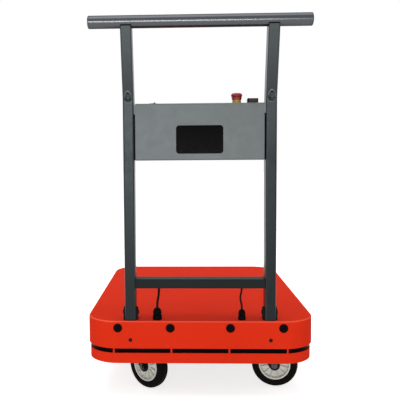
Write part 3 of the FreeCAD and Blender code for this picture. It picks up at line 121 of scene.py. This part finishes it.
def add_spline(curve, kind, points, radii):
    spline = curve.splines.new(kind)
    spline.points.add(len(points) - 1)
    for point, place, radius in zip(spline.points, points, radii):
        point.co = (*place, 1)
        point.radius = radius
    if kind == "NURBS":
        spline.order_u = 3
        spline.use_endpoint_u = True
    return spline


def make_lead(name, node, points, diameter):
    curve = new_curve(name, 5)
    curve.resolution_u = 16
    add_spline(curve, "NURBS", points, [diameter / 2] * len(points))
    piece = bpy.data.objects.new(name, curve)
    add_to_scene(piece)
    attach(piece, "body")
    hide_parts(node)
    return piece


LEADS = [make_lead("cord_left", "lead_left", LEAD_LEFT, 0.006),
         make_lead("cord_right", "lead_right", LEAD_RIGHT, 0.005)]


# ---- mesh helpers
SHARP_ANGLE = math.radians(35)


def new_object(name, mesh, material, body):
    piece = bpy.data.objects.new(name, mesh)
    add_to_scene(piece)
    mesh.materials.append(material)
    mesh.shade_smooth()
    mesh.set_sharp_from_angle(angle=SHARP_ANGLE)
    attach(piece, body)
    return piece


def mesh_from(bm, name):
    bmesh.ops.recalc_face_normals(bm, faces=bm.faces)
    mesh = bpy.data.meshes.new(name)
    bm.to_mesh(mesh)
    bm.free()
    return mesh


def lathe(name, profile, centre, axis, material, body, steps):
    # The profile gives (radius, place along the axis) pairs in metres.
    axis = Vector(axis).normalized()
    side = axis.orthogonal().normalized()
    other = axis.cross(side)
    bm = bmesh.new()
    rings = []
    for radius, along in profile:
        if radius == 0:
            rings.append([bm.verts.new(Vector(centre) + axis * along)])
            continue
        ring = []
        for i in range(steps):
            angle = 2 * math.pi * i / steps
            offset = side * math.cos(angle) + other * math.sin(angle)
            ring.append(bm.verts.new(Vector(centre) + axis * along + offset * radius))
        rings.append(ring)
    for a, b in zip(rings, rings[1:]):
        for i in range(steps):
            j = (i + 1) % steps
            if len(a) == 1 and len(b) == 1:
                continue
            if len(a) == 1:
                bm.faces.new((a[0], b[i], b[j]))
            elif len(b) == 1:
                bm.faces.new((a[i], b[0], a[j]))
            else:
                bm.faces.new((a[i], b[i], b[j], a[j]))
    return new_object(name, mesh_from(bm, name), material, body)


def closed_bead(name, points, radius, material, body):
    # A round bead along straight runs that come back to their start.
    curve = new_curve(name, 2)
    spline = add_spline(curve, "POLY", points, [radius] * len(points))
    spline.use_cyclic_u = True
    curve.materials.append(material)
    piece = bpy.data.objects.new(name, curve)
    add_to_scene(piece)
    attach(piece, body)
    return piece


# ---- materials
def maths(tree, operation, *values):
    # A Math node; each value is a number or the output of another node.
    node = tree.nodes.new("ShaderNodeMath")
    node.operation = operation
    for socket, value in zip(node.inputs, values):
        if isinstance(value, (int, float)):
            socket.default_value = value
        else:
            tree.links.new(value, socket)
    return node.outputs[0]


class Nodes:
    def __init__(self, name):
        self.material = bpy.data.materials.new(name)
        self.material.use_nodes = True
        self.tree = self.material.node_tree
        self.shader = self.tree.nodes["Principled BSDF"]
        coordinates = self.tree.nodes.new("ShaderNodeTexCoord")
        self.place = coordinates.outputs["Object"]
        self.facing = coordinates.outputs["Normal"]

    def add(self, kind, **inputs):
        node = self.tree.nodes.new(kind)
        for key, value in inputs.items():
            node.inputs[key.replace("_", " ")].default_value = value
        return node

    def link(self, source, target):
        self.tree.links.new(source, target)

    def noise(self, scale, detail):
        node = self.add("ShaderNodeTexNoise", Scale=scale, Detail=detail, Roughness=0.5)
        self.link(self.place, node.inputs["Vector"])
        return node.outputs["Fac"]

    def split(self, vector):
        node = self.add("ShaderNodeSeparateXYZ")
        self.link(vector, node.inputs["Vector"])
        return list(node.outputs)

    def spread(self, source, low, high, start=0.3, end=0.7):
        # Turns start to end into low to high; a noise seldom leaves 0.3 to 0.7.
        node = self.add("ShaderNodeMapRange", From_Min=start, From_Max=end, To_Min=low, To_Max=high)
        self.link(source, node.inputs["Value"])
        return node.outputs["Result"]

    def mix(self, factor, first, second):
        node = self.tree.nodes.new("ShaderNodeMix")
        node.data_type = "RGBA"
        self.link(factor, node.inputs["Factor"])
        for socket, value in ((node.inputs["A"], first), (node.inputs["B"], second)):
            if isinstance(value, tuple):
                socket.default_value = (*value, 1)
            else:
                self.link(value, socket)
        return node.outputs["Result"]

    def edge(self):
        # 0 on flat faces, up to 1 where a face turns round an edge.
        x, y, z = (maths(self.tree, "ABSOLUTE", part) for part in self.split(self.facing))
        largest = maths(self.tree, "MAXIMUM", maths(self.tree, "MAXIMUM", x, y), z)
        return self.spread(largest, 1, 0, 0.78, 0.99)

    def level_edge(self):
        # 0 on upright and level faces, up to 1 on the roundings between them.
        z = self.split(self.facing)[2]
        square = maths(self.tree, "MULTIPLY", z, z)
        rest = maths(self.tree, "SUBTRACT", 1, square)
        return self.spread(maths(self.tree, "MULTIPLY", square, rest), 0, 1, 0.02, 0.2)

    def bump(self, height, distance, under=None):
        node = self.add("ShaderNodeBump", Strength=1.0, Distance=distance)
        self.link(height, node.inputs["Height"])
        if under is not None:
            self.link(under, node.inputs["Normal"])
        return node.outputs["Normal"]

    def finish(self, colour, roughness, normal=None):
        self.link(colour, self.shader.inputs["Base Color"])
        self.link(roughness, self.shader.inputs["Roughness"])
        if normal is not None:
            self.link(normal, self.shader.inputs["Normal"])
        return self.material


def linear(r, g, b):
    # Linear colour from display values of 0 to 255.
    def one(v):
        v /= 255
        return v / 12.92 if v <= 0.04045 else ((v + 0.055) / 1.055) ** 2.4
    return one(r), one(g), one(b)


# Between these heights in metres the paint turns to a lighter tone towards the top: painted light.
PAINTED_LIGHT_FROM = 0.64
PAINTED_LIGHT_TO = 0.90


def powder_coat(name, colour, second, roughness, orange_peel=0.00006, metallic=0.0, specular=0.5, edge_highlight=None,
                level=False, painted_top_light=None, patchy=0.025, edge_tint=1.0):
    # Sprayed paint: slight clouds of tone, orange-peel ripple and fine grain. The edge tone is a painted
    # highlight on the edges, and level keeps that off the upright edges. The top tone is painted light,
    # lighter towards the top.
    n = Nodes(name)
    n.shader.inputs["Metallic"].default_value = metallic
    n.shader.inputs["Specular IOR Level"].default_value = specular
    n.shader.inputs["Specular Tint"].default_value = (edge_tint, edge_tint, edge_tint, 1)
    clouds = n.spread(n.noise(7, 4), 0, 1)
    tone = n.mix(clouds, colour, second)
    # painted light: the tone turns lighter towards the top
    if painted_top_light is not None:
        height = n.split(n.place)[2]
        tone = n.mix(n.spread(height, 0, 1, PAINTED_LIGHT_FROM, PAINTED_LIGHT_TO), tone, painted_top_light)
    # painted highlight: a lighter tone on the edges
    if edge_highlight is not None:
        tone = n.mix(n.level_edge() if level else n.edge(), tone, edge_highlight)
    gloss = n.spread(n.noise(60, 3), roughness - patchy, roughness + patchy)
    if orange_peel == 0:
        return n.finish(tone, gloss)
    ripple = n.bump(n.noise(420, 2), orange_peel)
    grain = n.bump(n.noise(2600, 1), orange_peel / 4, under=ripple)
    return n.finish(tone, gloss, grain)


def moulded(name, colour, second, roughness, grain=0.00004, grain_scale=1800, specular=0.5):
    # Moulded plastic or rubber with a fine spark-eroded grain.
    n = Nodes(name)
    n.shader.inputs["Specular IOR Level"].default_value = specular
    tone = n.mix(n.spread(n.noise(35, 4), 0, 1), colour, second)
    gloss = n.spread(n.noise(120, 3), roughness - 0.05, roughness + 0.07)
    return n.finish(tone, gloss, n.bump(n.noise(grain_scale, 2), grain))


def plated(name, colour, second, roughness, scale=90):
    # Bright zinc plate with faint rolling marks.
    n = Nodes(name)
    n.shader.inputs["Metallic"].default_value = 1.0
    tone = n.mix(n.spread(n.noise(scale, 5), 0, 1), colour, second)
    gloss = n.spread(n.noise(scale * 3, 4), roughness - 0.08, roughness + 0.12)
    return n.finish(tone, gloss, n.bump(n.noise(scale * 12, 2), 0.00002))


# Linear colours: the main tone and the one that its clouds fade to.
# The red paint has a painted highlight on the roundings of its top edges.
RED = powder_coat("red_paint", (0.720, 0.031, 0.0095), (0.695, 0.029, 0.0088), 0.6,
                  specular=0.01, edge_highlight=(0.86, 0.100, 0.052), level=True)
# The grey paint has a painted highlight on its edges and painted light that makes it lighter towards the top.
GREY = powder_coat("grey_paint", (0.0103, 0.0129, 0.0137), (0.0095, 0.0122, 0.0129), 0.33,
                   orange_peel=0.000005, metallic=0.9, edge_highlight=(0.050, 0.057, 0.060),
                   painted_top_light=(0.0390, 0.0440, 0.0460))
BAR_GREY = powder_coat("bar_paint", (0.0774, 0.0810, 0.0873), (0.0747, 0.0783, 0.0846), 0.24,
                       orange_peel=0, metallic=0.95, patchy=0.004, edge_tint=0.30)
# The brace paint is a darker copy of the tube grey: painted shade where the brace sits low and set back.
BRACE_SHADE_GREY = powder_coat("brace_painted_shade", (0.015, 0.019, 0.019), (0.013, 0.017, 0.017), 0.45, specular=0.04)
# The box paint has a painted highlight on its edges.
BOX_GREY = powder_coat("box_paint", (0.1019, 0.1138, 0.1156), (0.0983, 0.1101, 0.1119), 0.45,
                       orange_peel=0.00001, metallic=0.3, specular=0.25, edge_highlight=(0.15, 0.165, 0.167))
# The folds' paint is a lighter copy of the tube grey: a painted highlight.
FOLD_HIGHLIGHT_GREY = powder_coat("fold_painted_highlight", (0.120, 0.130, 0.134), (0.100, 0.110, 0.114), 0.36,
                        orange_peel=0.000006, metallic=0.6)
CHASSIS = powder_coat("chassis_paint", (0.018, 0.018, 0.019), (0.014, 0.014, 0.015), 0.5, specular=0.2)
BLACK_STEEL = powder_coat("black_steel", (0.006, 0.006, 0.0065), (0.0045, 0.0045, 0.005), 0.45,
                          specular=0.06)
ZINC = plated("zinc_steel", (0.30, 0.30, 0.29), (0.22, 0.22, 0.215), 0.32)
DARK_BOLT = plated("dark_bolt", (0.060, 0.060, 0.058), (0.035, 0.035, 0.034), 0.36)
BLACK_PLASTIC = moulded("black_plastic", (0.003, 0.003, 0.003), (0.002, 0.002, 0.002), 0.5, specular=0.02)
BLACK_GLOSS = moulded("black_gloss", (0.003, 0.0022, 0.0022), (0.002, 0.0016, 0.0016), 0.2,
                      grain=0.000003, specular=0.008)
HUB = moulded("hub_plastic", (0.74, 0.74, 0.68), (0.60, 0.60, 0.55), 0.42, specular=0.3)
RUBBER = moulded("black_rubber", (0.005, 0.005, 0.005), (0.0035, 0.0035, 0.0035), 0.62, specular=0.06)
TYRE = moulded("tyre_rubber", (0.005, 0.005, 0.0045), (0.003, 0.003, 0.0026), 0.6,
               grain=0.00008, grain_scale=900, specular=0.03)
ALLOY = plated("cast_alloy", (0.48, 0.49, 0.50), (0.40, 0.41, 0.42), 0.42, scale=60)
STOP_RED = moulded("stop_red", (0.25, 0.004, 0.009), (0.21, 0.003, 0.007), 0.24,
                   grain=0.00001, specular=0.4)
STOP_YELLOW = moulded("stop_yellow", (0.40, 0.26, 0.020), (0.36, 0.23, 0.017), 0.34, specular=0.3)
ROCKER_RED = moulded("rocker_red", (0.034, 0.007, 0.010), (0.026, 0.005, 0.008), 0.3, specular=0.15)
CASE_GREY = moulded("case_grey", linear(70, 71, 73), linear(62, 63, 65), 0.5)
BOARD = moulded("board_green", linear(36, 84, 58), linear(30, 74, 50), 0.4)
SLOT_MATERIALS = {
    "red_paint": RED, "grey_paint": GREY, "box_paint": BOX_GREY, "chassis_paint": CHASSIS,
    "black_steel": BLACK_STEEL, "zinc_steel": ZINC, "black_plastic": BLACK_PLASTIC,
    "black_gloss": BLACK_GLOSS, "hub_plastic": HUB, "black_rubber": RUBBER, "tyre_rubber": TYRE,
    "cast_alloy": ALLOY, "stop_red": STOP_RED, "stop_yellow": STOP_YELLOW, "rocker_red": ROCKER_RED,
    "case_grey": CASE_GREY, "board_green": BOARD}
# Nodes whose paint differs from that of their slot.
NODE_MATERIALS = {
    "handlebar": BAR_GREY, "handlebar_caps": BAR_GREY, "cross_brace": BRACE_SHADE_GREY,
    "caster_axle_left": DARK_BOLT, "caster_axle_right": DARK_BOLT}


def dress_cad_nodes():
    slots = {part["node"]: part["material_slot"] for part in RECORD["subparts"]}
    for name, node in NODES.items():
        material = NODE_MATERIALS.get(name, SLOT_MATERIALS[slots[name]])
        if not node.material_slots:
            node.data.materials.append(material)
        for place in node.material_slots:
            place.material = material


dress_cad_nodes()
for lead in LEADS:
    lead.data.materials.append(RUBBER)


# ---- details that ride on the frame
FOLD_SUNK = 0.5 * MM


def face_y(node, x, z):
    # Where the side towards the operator lies, sought from in front of the whole part.
    in_front = Vector((x, CAD_BOX[0][1] - 0.2, z))
    hit = NODES[node].ray_cast(in_front, Vector((0, 1, 0)))
    return hit[1].y


def bend_folds(side):
    # The metal pushed up round the pressed dimple of a bent tube, and the crease below it.
    node = "upright_" + side
    low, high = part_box(node)
    middle = (low.x + high.x) / 2
    curve = new_curve("bend_folds_" + side, 4)
    curve.resolution_u = 10
    # Each point is (distance from the tube's middle, height, radius) in millimetres.
    arch = [(-10.5, 781, 0.3), (-9.4, 788, 1.0), (-6.2, 794, 1.7), (-2.2, 799.5, 2.0), (1.4, 799.5, 2.0),
            (6.0, 794.5, 1.8), (9.2, 788, 1.1), (10.5, 780, 0.3)]
    crease = [(-12.3, 771.5, 0.3), (-6.0, 770.8, 0.8), (0, 770.3, 0.9), (6.0, 770.8, 0.8), (12.3, 771.5, 0.3)]
    for row in (arch, crease):
        flat = [(middle + x * MM, z * MM) for x, z, radius in row]
        points = [(x, face_y(node, x, z) + FOLD_SUNK, z) for x, z in flat]
        add_spline(curve, "NURBS", points, [radius * MM for x, z, radius in row])
    # painted highlight: the folds and crease take a lighter grey than the tube
    curve.materials.append(FOLD_HIGHLIGHT_GREY)
    piece = bpy.data.objects.new("bend_folds_" + side, curve)
    add_to_scene(piece)
    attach(piece, "body")


def mirrored(half):
    # The other half of a lathe profile, from the far end back.
    return [(radius, -along) for radius, along in reversed(half)]


def in_metres(profile):
    return [(radius * MM, along * MM) for radius, along in profile]


def handlebar():
    # The tube's round surface, finer than the frame's, with a small chamfer at each end. The bore has
    # a ring behind each cap.
    low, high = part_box("handlebar")
    centre = (low + high) / 2
    radius = (high.z - low.z) / 2
    end = (high.x - low.x) / 2
    wall, cap_depth, chamfer = 2 * MM, 12 * MM, 0.4 * MM
    bore = radius - wall
    half = [(bore, end - cap_depth), (bore, end), (radius - chamfer, end), (radius, end - chamfer)]
    profile = half + mirrored(half) + [half[0]]
    piece = lathe("handlebar_tube", profile, centre, (1, 0, 0), BAR_GREY, "body", steps=128)
    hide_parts("handlebar")


def brace_weld(side):
    # A fillet bead round each end of the brace, sunk a little into it.
    radius, inset, sunk = 1.3 * MM, 0.4 * MM, 0.6 * MM
    low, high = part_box("cross_brace")
    x = low.x + inset if side == "left" else high.x - inset
    front, back, bottom, top = low.y + sunk, high.y - sunk, low.z + sunk, high.z - sunk
    corners = [(x, front, bottom), (x, front, top), (x, back, top), (x, back, bottom)]
    # painted shade: the weld takes the brace's darker paint
    closed_bead("brace_weld_" + side, corners, radius, BRACE_SHADE_GREY, "body")


def bracket_bolts():
    # Low button heads on both sides of each handle bracket; the profile is in millimetres.
    low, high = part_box("bracket_bolts")
    y, z = (low.y + high.y) / 2, (low.z + high.z) / 2
    half = [(0, -19.8), (2.0, -19.8), (2.2, -21.3), (4.4, -21.0), (6.0, -20.1), (6.5, -18.8), (4.0, -18.7)]
    profile = in_metres(half + mirrored(half))
    for side in ("left", "right"):
        tube_low, tube_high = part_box("upright_" + side)
        centre = ((tube_low.x + tube_high.x) / 2, y, z)
        name = "bracket_bolt_" + side
        lathe(name, profile, centre, (1, 0, 0), BLACK_STEEL, "body", steps=32)
    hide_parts("bracket_bolts")


def stop_sleeve():
    # The skirt of the mushroom, which slides over the collar when it is pressed; in millimetres.
    low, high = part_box("stop_head")
    x, y = (low.x + high.x) / 2, (low.y + high.y) / 2
    profile = [(11.75, -3.4), (12.05, -3.4), (12.6, 0.2), (13.2, 3.2), (11.75, 3.2), (11.75, -3.4)]
    place = (x, y, low.z)
    lathe("stop_sleeve", in_metres(profile), place, (0, 0, 1), STOP_RED, "stop_mushroom", steps=64)


def box_gap_shade_sheet(side):
    # The folded black sheet that closes the gap between the box and the tube below its tab: painted shade for
    # that dark gap.
    sheet, leg, rounding = 1.0 * MM, 14 * MM, 0.15 * MM
    gap, reach, setback = 0.2 * MM, 3.6 * MM, 9 * MM
    above_bottom, below_top = 1.5 * MM, 26.5 * MM
    box_low, box_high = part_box("control_box")
    tube_low, tube_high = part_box("upright_" + side)
    outward = -1 if side == "left" else 1
    tube = tube_high.x if side == "left" else tube_low.x
    inner, outer = tube - outward * reach, tube - outward * gap
    front = box_low.y + setback
    profile = [(inner, front), (outer, front), (outer, front + leg), (outer - outward * sheet, front + leg),
               (outer - outward * sheet, front + sheet), (inner, front + sheet)]
    bottom, top = box_low.z + above_bottom, box_high.z - below_top
    bm = bmesh.new()
    rows = [[bm.verts.new((x, y, z)) for x, y in profile] for z in (bottom, (bottom + top) / 2, top)]
    for first, second in zip(rows, rows[1:]):
        for i in range(len(profile)):
            j = (i + 1) % len(profile)
            bm.faces.new((first[i], first[j], second[j], second[i]))
    bm.faces.new(rows[0])
    bm.faces.new(list(reversed(rows[-1])))
    bmesh.ops.bevel(bm, geom=list(bm.edges), offset=rounding, segments=1, affect="EDGES")
    name = "box_gap_shade_sheet_" + side
    new_object(name, mesh_from(bm, name), BLACK_STEEL, "body")


for side in ("left", "right"):
    bend_folds(side)
    brace_weld(side)
    box_gap_shade_sheet(side)
handlebar()
bracket_bolts()
stop_sleeve()


# ---- floor, backdrop and light
FLOOR_GLOW = 0.74
WORLD_FILL = 0.38


def seen_directly(tree):
    # 1 for camera, glossy and transmission rays, which show the white background.
    rays = tree.nodes.new("ShaderNodeLightPath")
    mirrored = maths(tree, "MAXIMUM", rays.outputs["Is Glossy Ray"], rays.outputs["Is Transmission Ray"])
    return maths(tree, "MAXIMUM", rays.outputs["Is Camera Ray"], mirrored)


def make_floor():
    bm = bmesh.new()
    bmesh.ops.create_grid(bm, x_segments=1, y_segments=1, size=30)
    mesh = mesh_from(bm, "floor")
    n = Nodes("floor_paper")
    tone = n.mix(n.spread(n.noise(2, 3), 0, 1), (0.93, 0.93, 0.93), (0.91, 0.91, 0.91))
    n.link(tone, n.shader.inputs["Base Color"])
    n.shader.inputs["Roughness"].default_value = 0.9
    n.shader.inputs["Specular IOR Level"].default_value = 0.1
    # The camera sees the floor brighter than the floor lights the object, so that it meets a white
    # background and keeps the object's shadow.
    seen = seen_directly(n.tree)
    glow = n.add("ShaderNodeEmission", Strength=FLOOR_GLOW)
    total = n.add("ShaderNodeAddShader")
    choose = n.add("ShaderNodeMixShader")
    n.link(n.shader.outputs["BSDF"], total.inputs[0])
    n.link(glow.outputs["Emission"], total.inputs[1])
    n.link(seen, choose.inputs["Fac"])
    n.link(n.shader.outputs["BSDF"], choose.inputs[1])
    n.link(total.outputs["Shader"], choose.inputs[2])
    n.link(choose.outputs["Shader"], n.tree.nodes["Material Output"].inputs["Surface"])
    mesh.materials.append(n.material)
    floor = bpy.data.objects.new("floor", mesh)
    add_to_scene(floor)


def make_world():
    world = bpy.data.worlds.new("studio")
    bpy.context.scene.world = world
    world.use_nodes = True
    tree = world.node_tree
    choose = tree.nodes.new("ShaderNodeMixShader")
    tree.links.new(seen_directly(tree), choose.inputs["Fac"])
    fill = tree.nodes["Background"]
    white = tree.nodes.new("ShaderNodeBackground")
    for back, strength, socket in ((fill, WORLD_FILL, choose.inputs[1]), (white, 1.0, choose.inputs[2])):
        back.inputs["Color"].default_value = (1, 1, 1, 1)
        back.inputs["Strength"].default_value = strength
        tree.links.new(back.outputs["Background"], socket)
    tree.links.new(choose.outputs["Shader"], tree.nodes["World Output"].inputs["Surface"])


def softbox(name, place, target, width, height, watts):
    data = bpy.data.lights.new(name, "AREA")
    data.shape = "RECTANGLE"
    data.size = width
    data.size_y = height
    data.energy = watts
    light = bpy.data.objects.new(name, data)
    add_to_scene(light)
    light.location = place
    direction = Vector(target) - Vector(place)
    light.rotation_euler = direction.to_track_quat("-Z", "Y").to_euler()
    light.visible_camera = False


make_floor()
make_world()
softbox("overhead", (-0.2, -0.1, 3.2), (0, 0, 0.2), width=3.0, height=3.0, watts=66)
softbox("front_panel", (-0.6, -4.5, 1.6), (-0.1, -0.37, 0.7), width=3.0, height=2.0, watts=5)
softbox("far_strip", (-0.45, -6.4, 0.6), (-0.1, -0.37, 0.9), width=3.0, height=0.4, watts=138)
softbox("left_side", (-2.6, -0.8, 1.2), (0, -0.1, 0.3), width=1.2, height=1.2, watts=3)

bpy.context.view_layer.update()
